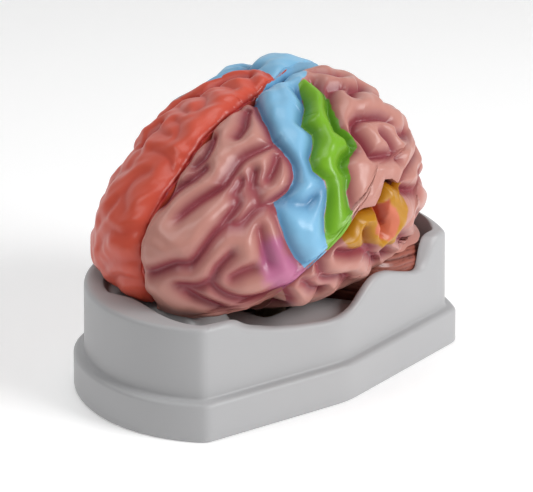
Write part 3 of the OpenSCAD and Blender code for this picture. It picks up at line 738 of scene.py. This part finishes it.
def painted_brain(name, areas, uneven=0.3):
    """Varnished paint on a brain casting: flesh pink, with other colours over named areas, each darker in its folds
    by paint and by painted shade.
    """
    finish, tree, shader, _ = new_finish(name, 90.0, 1800.0, 0.36, 0.18, 0.12, coat=0.12)
    shader.inputs["Specular IOR Level"].default_value = 0.32
    fold = add_node(tree, "ShaderNodeAttribute", {"attribute_name": "fold"})

    # A coat goes to its valley colour in the folds, which is partly painted shade.
    def coat_of(crown, valley):
        node = add_node(tree, "ShaderNodeGroup", {"node_tree": fold_paint_and_shade},
                        Crown=(*crown, 1), Valley=(*valley, 1), Unevenness=uneven)
        tree.links.new(fold.outputs["Fac"], node.inputs["Fold"])
        return node.outputs["Color"]

    colour = coat_of(flesh_crown, flesh_valley_paint_and_shade)
    for mark, crown, valley, softness in areas:
        area = add_node(tree, "ShaderNodeAttribute", {"attribute_name": mark})
        border = add_node(tree, "ShaderNodeGroup", {"node_tree": brushed_edge},
                          Softness=softness, Waver=0.8 + softness)
        tree.links.new(area.outputs["Fac"], border.inputs["Distance"])
        colour = mix_colour(tree, border.outputs["Mask"], colour, coat_of(crown, valley))
    tree.links.new(colour, shader.inputs["Base Color"])
    return finish


right_finish = painted_brain("painted_right_half", [
    ("occipital", (0.34, 0.15, 0.38), (0.16, 0.05, 0.2), 0.3),
    ("parietal", (0.22, 0.48, 0.70), (0.09, 0.24, 0.42), 0.3),
    ("frontal", (0.62, 0.088, 0.05), (0.36, 0.02, 0.018), 0.3),
])
right_piece.data.materials.append(right_finish)
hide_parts("right_half")


def in_cer(y, z):
    return cer_x(y, z) > 0


def carve_leaves(p, soften):
    """The deeper grooves between the leaves of the cerebellum, and the fine leaves between them, with a mark that
    darkens the grooves as painted shade.
    """
    lean = p[:, 2] + 0.12 * (p[:, 1] - cer_y)
    main = 1.2 * round_off(abs((lean / 8) % 1 - 0.5) * 8, 2.5)
    wander = 0.5 * np.sin(p[:, 0] * 0.16) + 0.4 * np.sin(p[:, 1] * 0.22)
    leaf = 0.42 * round_off(abs(((lean + wander) / 2.0) % 1 - 0.5) * 2.0, 1.0)
    deep = np.maximum(main, leaf)
    q = p.copy()
    q[:, 0] -= deep
    return q, np.clip(np.maximum(main / 1.2, leaf / 0.42 * 0.8), 0, 1)


cer_points, cer_faces, _, cer_dome, cer_fold = lobe(
    (cer_y, cer_z), 78, in_cer, cer_x, carve_leaves, lambda y, z: np.full_like(y, gap / 2), lambda y, z: (y, z))
cer_marks = {"fold": cer_fold, "inner_face": 1 - cer_dome}
# The brown-red goes darker in the grooves between the leaves: painted shade.
cer_finish, tree, shader, _ = new_finish("painted_cerebellum", 110.0, 2000.0, 0.34, 0.2, 0.12, coat=0.2)
fold_mark = add_node(tree, "ShaderNodeAttribute", {"attribute_name": "fold"})
cer_colour_and_groove_shade = add_node(tree, "ShaderNodeGroup", {"node_tree": fold_paint_and_shade},
                     Crown=(0.34, 0.10, 0.07, 1), Valley=(0.12, 0.025, 0.018, 1), Unevenness=0.35)
tree.links.new(fold_mark.outputs["Fac"], cer_colour_and_groove_shade.inputs["Fold"])
tree.links.new(cer_colour_and_groove_shade.outputs["Color"], shader.inputs["Base Color"])

right_cer = make_piece("right_cerebellum", cer_points * np.array([-1, 1, 1]),
                       [f[::-1] for f in cer_faces], "base", cer_marks)
right_cer.data.materials.append(cer_finish)
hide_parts("right_half")

stem_rows = np.array([
    (3, 68, 7, 0.8), (2, 62, 9, 0.9), (0, 56, 11, 1), (0, 48, 12, 1), (3, 40, 10, 0.8),
    (6, 32, 8, 0.62), (8, 22, 6.5, 0.5), (9, 16, 6, 0.45),
])
levels = np.linspace(68, 16, 60)
rounds = np.radians(np.linspace(-90, 90, 41))
stem_points = []
for z in levels:
    back, deep, wide = (np.interp(-z, -stem_rows[:, 1], stem_rows[:, k]) for k in (0, 2, 3))
    band = 1 - 0.03 * (math.sin(z * 0.9) > 0.75)
    stem_points.append(np.stack([gap / 2 + stem_w * wide * band * np.cos(rounds),
                                 back + deep * np.sin(rounds), np.full_like(rounds, z)], 1))
stem_points = np.concatenate(stem_points)
m, k = len(rounds), len(levels)
stem_faces = [(j * m + i, j * m + (i + 1) % m, (j + 1) * m + (i + 1) % m, (j + 1) * m + i)
              for j in range(k - 1) for i in range(m)]
stem_faces += [tuple(range(m - 1, -1, -1)), tuple((k - 1) * m + i for i in range(m))]
stem_marks = {"fold": np.zeros(len(stem_points))}
stem_finish, tree, shader, skin = new_finish("painted_brainstem", 120.0, 1800.0, 0.38, 0.15, 0.1, coat=0.25)
tree.links.new(
    mix_colour(tree, skin.outputs["Height"], (0.58, 0.40, 0.26), (0.66, 0.50, 0.36)),
    shader.inputs["Base Color"],
)
right_stem = make_piece("right_brainstem", stem_points * np.array([-1, 1, 1]),
                        [f[::-1] for f in stem_faces], "base", stem_marks)
right_stem.data.materials.append(stem_finish)
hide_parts("right_half")

# ---- Left cerebellum and brainstem ------------------------------------------------------------
# These are two small castings that stand in the pit of the base, held up by each other and by the
# lobes over them. The cerebellum is brown-red with fine leaves, the brainstem cream.

left_cer = make_piece("left_cerebellum_casting", cer_points, cer_faces, "base", cer_marks)
left_cer.data.materials.append(cer_finish)
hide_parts("left_cerebellum")
left_stem = make_piece("left_brainstem_casting", stem_points, stem_faces, "base", stem_marks)
left_stem.data.materials.append(stem_finish)
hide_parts("left_brainstem")

# ---- Lower lobes ------------------------------------------------------------------------------
# The left temporal and occipital lobes are one casting in flesh pink, with an ochre area round a
# salmon one where the seam dips. It carries the two pegs.


def hem(y, z):
    """The lower edge at the back hangs a little way down over the cerebellum."""
    over = cer_x(y, z, nest)
    return np.where((over > 14) & (y > 26) & (z > 57 + 3 * smooth(y, 55, 72)), over + 2.5, 0)


def lower_top(y, z):
    return np.maximum(outer(y, z, left_fill), hem(y, z))


def in_lower(y, z):
    return (z < seam_z(y) - gap / 2) & (y > pole_y(z)) & (body_here(y, z, nest) | (hem(y, z) > 0))


points, faces, plain, on_dome, fold = lobe(
    (mid_y + 10, mid_z - 14), 116, in_lower, lower_top,
    carve_half(folds_of(lower_paths, left_fill), edge_folds(left_fill, 8.0), 1.0, 1.0, 0.3),
    lambda y, z: inner(y, z, nest), lambda y, z: (y, np.minimum(z, seam_z(y) - gap / 2)))
ochre = [(-17, 13), (-11, 12), (-6, 12), (0, 15), (2, 22), (12, 22), (11.5, 10), (9, 3), (8.5, -1), (9, -5), (10, -9),
         (9, -14), (2, -15), (-4, -9), (-7.5, -6), (-10, -5), (-14, -2), (-15.5, 0)]
salmon = [(-4.5, 8), (-1.5, 9), (2.5, 7), (4.2, 3.5), (4.6, -1), (5.9, -6), (4, -9.5), (-1, -7.5), (-3.6, -1), (-4.2, 4)]
deep_v = [(-2.6, 9), (2.6, 9), (2, 3), (0.6, -3), (-0.4, -3), (-1.6, 4)]
marks = {
    "fold": fold,
    "ochre": paint_edge(plain, on_dome, ochre, left_fill),
    "salmon": paint_edge(plain, on_dome, salmon, left_fill),
    "deep_v": paint_edge(plain, on_dome, deep_v, left_fill),
    "inner_face": 1 - on_dome,
}
lower_piece = make_piece("left_lower_lobes", points, faces, "lower_lobes", marks)
lower_piece.data.materials.append(painted_brain("painted_lower_lobes", [
    ("ochre", (0.47, 0.21, 0.003), (0.35, 0.115, 0.001), 0.8),
    ("salmon", (0.60, 0.16, 0.085), (0.50, 0.10, 0.04), 1.0),
    ("deep_v", (0.40, 0.06, 0.018), (0.32, 0.035, 0.010), 1.0),
]))
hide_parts("left_temporal_occipital")

# ---- Pegs -------------------------------------------------------------------------------------
# Two short steel pegs are pressed into the lower lobes and stand up into holes in the upper ones.
# Their ends are turned to a small chamfer.

peg_d, peg_len, peg_x, peg_play = 4.0, 16.0, 28.0, 0.3
peg_places = [mid_y - 10.0, mid_y + 36.0]
points, faces = [], []
for y in peg_places:
    start = len(points)
    foot = float(seam_z(y)) - peg_len / 2
    profile = [(0.0, 0.0), (1.5, 0.0), (1.98, 0.5), (1.98, peg_len - 0.5), (1.5, peg_len), (0.0, peg_len)]
    for r, z in profile:
        for i in range(40):
            a = 2 * math.pi * i / 40
            points.append((peg_x + max(r, 0.01) * math.cos(a), y + max(r, 0.01) * math.sin(a), foot + z))
    for j in range(len(profile) - 1):
        for i in range(40):
            a, b = start + j * 40 + i, start + j * 40 + (i + 1) % 40
            faces.append((a, b, b + 40, a + 40))
    faces.append(tuple(start + 39 - i for i in range(40)))
    faces.append(tuple(start + (len(profile) - 1) * 40 + i for i in range(40)))
peg_piece = make_piece("steel_pegs", points, faces, "lower_lobes", crease=30)
peg_finish, tree, shader, skin = new_finish("peg_steel", 400.0, 5000.0, 0.3, 0.2, 0.05)
shader.inputs["Metallic"].default_value = 1.0
tree.links.new(
    mix_colour(tree, skin.outputs["Height"], (0.52, 0.52, 0.53), (0.64, 0.64, 0.64)),
    shader.inputs["Base Color"],
)
peg_piece.data.materials.append(peg_finish)
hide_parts("lobe_pegs")

# ---- Upper lobes ------------------------------------------------------------------------------
# The left frontal and parietal lobes are one casting that sits on the pegs. It is flesh pink with
# a blue strip, a green strip behind it and a pink-purple patch sprayed on low in front.


def in_upper(y, z):
    return (z > seam_z(y) + gap / 2) & body_here(y, z, nest)


points, faces, plain, on_dome, fold = lobe(
    (mid_y + 2, mid_z + 30), 132, in_upper, lambda y, z: outer(y, z, left_fill),
    carve_half(folds_of(upper_paths, left_fill), edge_folds(left_fill, 3.5)[:1], 0.7, 1.45, 0.3),
    lambda y, z: inner(y, z, nest), lambda y, z: (y, np.maximum(z, seam_z(y) + gap / 2)))
blue = [(-24, 95), (-25, 86), (-32, 78), (-37, 70), (-40, 60), (-42, 52), (-40, 44), (-38, 36), (-38, 28),
        (-41, 21), (-45, 18), (-42, 12), (-37, 5), (-33, 0), (-30, -4), (-28, -8), (-22, -4), (-22, 1),
        (-23, 4), (-25, 9), (-25, 17), (-26, 25), (-30, 31), (-30, 38), (-25, 46), (-21, 53), (-22, 60),
        (-16, 65), (-8, 70), (0, 77), (4, 80), (14, 80), (22, 82), (26, 95)]
green = [(4, 80), (0, 77), (-8, 70), (-16, 65), (-22, 60), (-21, 53), (-25, 46), (-30, 38), (-30, 31),
         (-26, 25), (-25, 17), (-25, 9), (-23, 4), (-22, -1), (-15, -1), (-15, 3), (-16, 10), (-17, 18),
         (-14, 25), (-14, 31), (-10, 35), (-3, 38), (-1, 44), (-4, 50), (-1, 56), (3, 61), (10, 66), (14, 77)]
purple = [(-43, 6), (-38, 5), (-35, 0), (-28, -5), (-28, -9), (-36, -13), (-40, -12), (-43.5, -7), (-44, 0)]
marks = {
    "fold": fold,
    "blue": paint_edge(plain, on_dome, blue, left_fill),
    "green": paint_edge(plain, on_dome, green, left_fill),
    "purple": paint_edge(plain, on_dome, purple, left_fill),
    "inner_face": 1 - on_dome,
}
upper_piece = make_piece("left_upper_lobes", points, faces, "upper_lobes", marks)
upper_piece.data.materials.append(painted_brain("painted_upper_lobes", [
    ("purple", (0.50, 0.16, 0.29), (0.32, 0.07, 0.16), 3.5),
    ("blue", (0.22, 0.48, 0.70), (0.09, 0.24, 0.42), 0.25),
    ("green", (0.18, 0.41, 0.018), (0.10, 0.27, 0.012), 0.25),
]))
hole_points, hole_faces = [], []
for y in peg_places:
    start = len(hole_points)
    for z in (float(seam_z(y)) - 4, float(seam_z(y)) + peg_len / 2 + peg_play):
        for i in range(48):
            a = 2 * math.pi * i / 48
            r = peg_d / 2 + peg_play
            hole_points.append(((peg_x + r * math.cos(a)) / 1000, (y + r * math.sin(a)) / 1000, z / 1000))
    for i in range(48):
        a, b = start + i, start + (i + 1) % 48
        hole_faces.append((a, b, b + 48, a + 48))
    hole_faces += [tuple(start + 47 - i for i in range(48)), tuple(start + 48 + i for i in range(48))]
drill_mesh = bpy.data.meshes.new("peg_drill")
drill_mesh.from_pydata(hole_points, [], hole_faces)
drill = bpy.data.objects.new("peg_drill", drill_mesh)
bpy.context.scene.collection.objects.link(drill)
holes = upper_piece.modifiers.new("peg_holes", "BOOLEAN")
holes.operation, holes.solver, holes.object = "DIFFERENCE", "EXACT", drill
bpy.context.view_layer.update()
drilled = bpy.data.meshes.new_from_object(upper_piece.evaluated_get(bpy.context.evaluated_depsgraph_get()))
upper_piece.modifiers.remove(holes)
upper_piece.data = drilled
bpy.data.objects.remove(drill)
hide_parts("left_frontal_parietal")

# ---- Floor, lights and camera -----------------------------------------------------------------
# The model stands on a plain white table that curves up behind it, under three soft lamps. The
# camera looks down on its front left.

floor_profile = [(-3.0, 0.0), (1.2, 0.0), (1.5, 0.03), (1.75, 0.14), (1.9, 0.35), (1.95, 0.7), (1.95, 3.0)]
across = 4.0
away = Vector((-0.6262, 0.7797, 0))
side = Vector((0.7797, 0.6262, 0))
floor_points, floor_faces = [], []
for run, up in floor_profile:
    for s in (-across, across):
        spot = away * run + side * s
        floor_points.append((spot.x, spot.y, up))
for i in range(len(floor_profile) - 1):
    floor_faces.append((2 * i, 2 * i + 1, 2 * i + 3, 2 * i + 2))
floor_mesh = bpy.data.meshes.new("floor")
floor_mesh.from_pydata(floor_points, [], floor_faces)
floor_mesh.shade_smooth()
floor = bpy.data.objects.new("floor", floor_mesh)
bpy.context.scene.collection.objects.link(floor)
floor_finish = bpy.data.materials.new("floor_paper")
floor_finish.use_nodes = True
floor_finish.node_tree.nodes["Principled BSDF"].inputs["Base Color"].default_value = (0.93, 0.93, 0.93, 1)
floor_finish.node_tree.nodes["Principled BSDF"].inputs["Roughness"].default_value = 0.9
floor_finish.node_tree.nodes["Principled BSDF"].inputs["Emission Color"].default_value = (1, 1, 1, 1)
floor_finish.node_tree.nodes["Principled BSDF"].inputs["Emission Strength"].default_value = 0.2
floor_mesh.materials.append(floor_finish)


def softbox(name, place, size, power, tint=(1, 1, 1)):
    lamp = bpy.data.lights.new(name, "AREA")
    lamp.shape, lamp.size, lamp.size_y = "RECTANGLE", size[0], size[1]
    lamp.energy, lamp.color = power, tint
    holder = bpy.data.objects.new(name, lamp)
    bpy.context.scene.collection.objects.link(holder)
    holder.location = place
    aim = Vector((0, 0, 0.08)) - Vector(place)
    holder.rotation_mode = "QUATERNION"
    holder.rotation_quaternion = aim.to_track_quat("-Z", "Y")
    return holder


softbox("lamp_front", (-0.45, -0.8, 1.15), (0.6, 0.6), 3.9)
softbox("lamp_right", (1.2, 0.25, 0.8), (0.6, 0.8), 15.0)
softbox("lamp_top", (-0.05, 0.0, 1.4), (0.7, 0.7), 5.0)
world = bpy.data.worlds.new("studio")
world.use_nodes = True
world.node_tree.nodes["Background"].inputs["Color"].default_value = (1, 1, 1, 1)
world.node_tree.nodes["Background"].inputs["Strength"].default_value = 0.17
bpy.context.scene.world = world
bpy.context.scene.view_settings.view_transform = "Standard"

eye = Vector((0.6355, -0.7860, 0.4600))
back = Vector((0.5826, -0.7249, 0.3680))
lens = bpy.data.cameras.new("camera")
lens.sensor_width, lens.lens = 36.0, 150.58
lens.clip_start, lens.clip_end = 0.05, 20.0
camera = bpy.data.objects.new("camera", lens)
bpy.context.scene.collection.objects.link(camera)
right = Vector((0.7797, 0.6262, 0.0)).normalized()
up = back.cross(right).normalized()
camera.matrix_world = Matrix((
    (right.x, up.x, back.x, eye.x),
    (right.y, up.y, back.y, eye.y),
    (right.z, up.z, back.z, eye.z),
    (0, 0, 0, 1),
))
bpy.context.scene.camera = camera
